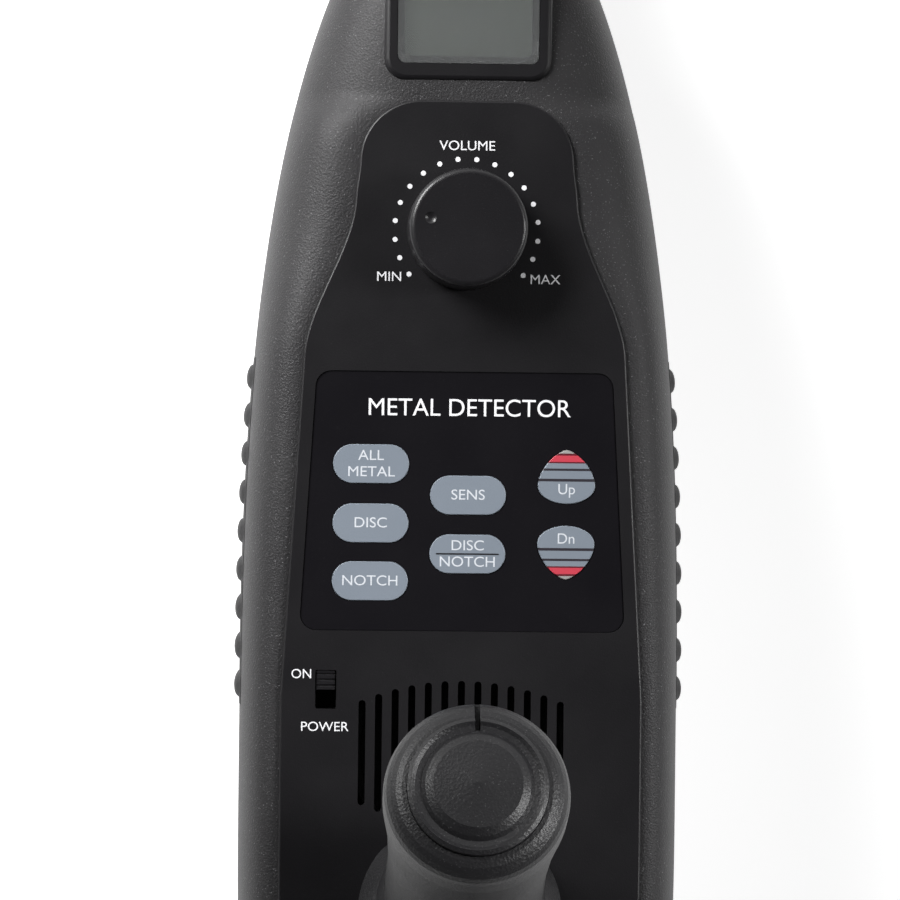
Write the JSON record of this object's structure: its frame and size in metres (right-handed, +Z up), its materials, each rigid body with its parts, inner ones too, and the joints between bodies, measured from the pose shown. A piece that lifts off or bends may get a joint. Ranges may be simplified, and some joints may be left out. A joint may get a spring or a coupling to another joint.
{
  "type": "metal detector",
  "caption": "Metal detector with a black control head, volume knob and membrane keys, joystick handle, telescopic shaft, round search coil and arm cup.",
  "frame": {"origin": "under the middle of the detector's outline, on the surface that it rests on", "axes": "+X to the user's right, +Y forward along the shaft to the coil, +Z up"},
  "size_m": [0.224, 1.21, 0.173],
  "materials": {
    "housing_plastic": "sandblasted moulded plastic",
    "panel_label": "satin printed film",
    "key_film": "satin blue-grey print",
    "knob_plastic": "satin",
    "black_rubber": "matt rubber",
    "handle_plastic": "leather-grain moulding",
    "black_nylon": "fine grain",
    "coil_plastic": "fine grain",
    "white_nylon": "natural nylon",
    "steel": "zinc plated",
    "black_tube": "black anodised aluminium",
    "rod_tube": "glass-fibre tube",
    "circuit_board": "solder mask",
    "dome_film": "clear film with steel domes",
    "nickel": "nickel plated",
    "display_window": "clear window",
    "display_glass": "liquid crystal",
    "speaker_cone_paper": "pressed film",
    "battery_wrap": "printed wrap",
    "copper": "enamelled copper",
    "foam": "closed-cell foam"
  },
  "bodies": {
    "head": {"upper_shell": "housing_plastic", "lower_shell": "housing_plastic", "side_grip_left": "black_rubber", "side_grip_right": "black_rubber", "shell_screws": "steel", "shaft_bolt": "steel", "feet": "black_rubber", "label_overlay": "panel_label", "dome_sheet": "dome_film", "key_board": "circuit_board", "pot_body": "steel", "pot_nut": "nickel", "switch_body": "steel", "display_lens": "display_window", "display_module": "display_glass", "main_board": "circuit_board", "speaker_frame": "steel", "speaker_cone": "speaker_cone_paper", "speaker_magnet": "steel", "battery_tray": "black_nylon", "batteries": "battery_wrap", "battery_contacts": "nickel", "headphone_jack": "nickel", "jack_nut": "nickel", "coil_connector": "nickel", "handle_left": "handle_plastic", "handle_right": "handle_plastic", "handle_cap": "handle_plastic", "handle_screws": "steel", "handle_bolts": "steel", "upper_shaft": "black_tube", "lock_bush": "white_nylon", "rear_stem": "black_tube", "stem_cap": "black_rubber"},
    "volume": {"volume_knob": "knob_plastic", "pot_shaft": "nickel"},
    "power_slide": {"power_slider": "knob_plastic"},
    "battery_hatch": {"battery_door": "housing_plastic"},
    "collar": {"lock_collar": "black_nylon"},
    "lower_rod": {"lower_shaft": "rod_tube", "shaft_yoke": "black_nylon", "coil_washers": "black_rubber"},
    "coil": {"coil_bolt": "black_nylon", "coil_top": "coil_plastic", "coil_cover": "coil_plastic", "transmit_winding": "copper", "receive_winding": "copper", "coil_gland": "black_nylon"},
    "wing_nut": {"coil_nut": "black_nylon"},
    "arm_rest": {"arm_bracket": "black_nylon", "arm_cup": "coil_plastic", "arm_pad": "foam"},
    "arm_clamp": {"clamp_knob": "black_nylon"},
    "key_all_metal_body": {"key_all_metal": "key_film"},
    "key_disc_body": {"key_disc": "key_film"},
    "key_notch_body": {"key_notch": "key_film"},
    "key_sens_body": {"key_sens": "key_film"},
    "key_disc_notch_body": {"key_disc_notch": "key_film"},
    "key_up_body": {"key_up": "key_film"},
    "key_down_body": {"key_down": "key_film"}
  },
  "joints": [
    {"name": "volume_turn", "type": "hinge", "parent": "head", "child": "volume", "pos_m": [0, -0.152, 0.08], "axis": [0, 0, 1], "range_deg": [-204, 50]},
    {"name": "power_switch", "type": "slide", "parent": "head", "child": "power_slide", "axis": [0, 1, 0], "range_m": [-0.0042, 0]},
    {"name": "key_all_metal_press", "type": "slide", "parent": "head", "child": "key_all_metal_body", "axis": [0, 0, -1], "range_m": [0, 0.00035], "stiffness_N_per_m": 400, "springref_m": -0.0002},
    {"name": "key_disc_press", "type": "slide", "parent": "head", "child": "key_disc_body", "axis": [0, 0, -1], "range_m": [0, 0.00035], "stiffness_N_per_m": 400, "springref_m": -0.0002},
    {"name": "key_notch_press", "type": "slide", "parent": "head", "child": "key_notch_body", "axis": [0, 0, -1], "range_m": [0, 0.00035], "stiffness_N_per_m": 400, "springref_m": -0.0002},
    {"name": "key_sens_press", "type": "slide", "parent": "head", "child": "key_sens_body", "axis": [0, 0, -1], "range_m": [0, 0.00035], "stiffness_N_per_m": 400, "springref_m": -0.0002},
    {"name": "key_disc_notch_press", "type": "slide", "parent": "head", "child": "key_disc_notch_body", "axis": [0, 0, -1], "range_m": [0, 0.00035], "stiffness_N_per_m": 400, "springref_m": -0.0002},
    {"name": "key_up_press", "type": "slide", "parent": "head", "child": "key_up_body", "axis": [0, 0, -1], "range_m": [0, 0.00035], "stiffness_N_per_m": 400, "springref_m": -0.0002},
    {"name": "key_down_press", "type": "slide", "parent": "head", "child": "key_down_body", "axis": [0, 0, -1], "range_m": [0, 0.00035], "stiffness_N_per_m": 400, "springref_m": -0.0002},
    {"name": "battery_door_swing", "type": "hinge", "parent": "head", "child": "battery_hatch", "pos_m": [0, -0.3857, 0.0104], "axis": [1, 0, 0], "range_deg": [0, 90]},
    {"name": "shaft_slide", "type": "slide", "parent": "head", "child": "lower_rod", "axis": [0, 1, 0], "range_m": [0, 0.2]},
    {"name": "collar_turn", "type": "hinge", "parent": "head", "child": "collar", "pos_m": [0, 0.248, 0.044], "axis": [0, 1, 0], "range_deg": [0, 150]},
    {"name": "coil_tilt", "type": "hinge", "parent": "lower_rod", "child": "coil", "pos_m": [0, 0.493, 0.044], "axis": [1, 0, 0], "range_deg": [0, 75]},
    {"name": "nut_turn", "type": "hinge", "parent": "coil", "child": "wing_nut", "pos_m": [0.018, 0.493, 0.044], "axis": [1, 0, 0], "continuous": true},
    {"name": "arm_slide", "type": "slide", "parent": "head", "child": "arm_rest", "axis": [0, 1, 0], "range_m": [-0.045, 0.03]},
    {"name": "clamp_turn", "type": "hinge", "parent": "arm_rest", "child": "arm_clamp", "pos_m": [0.02, -0.532, 0.0575], "axis": [1, 0, 0], "range_deg": [-180, 180]}
  ]
}
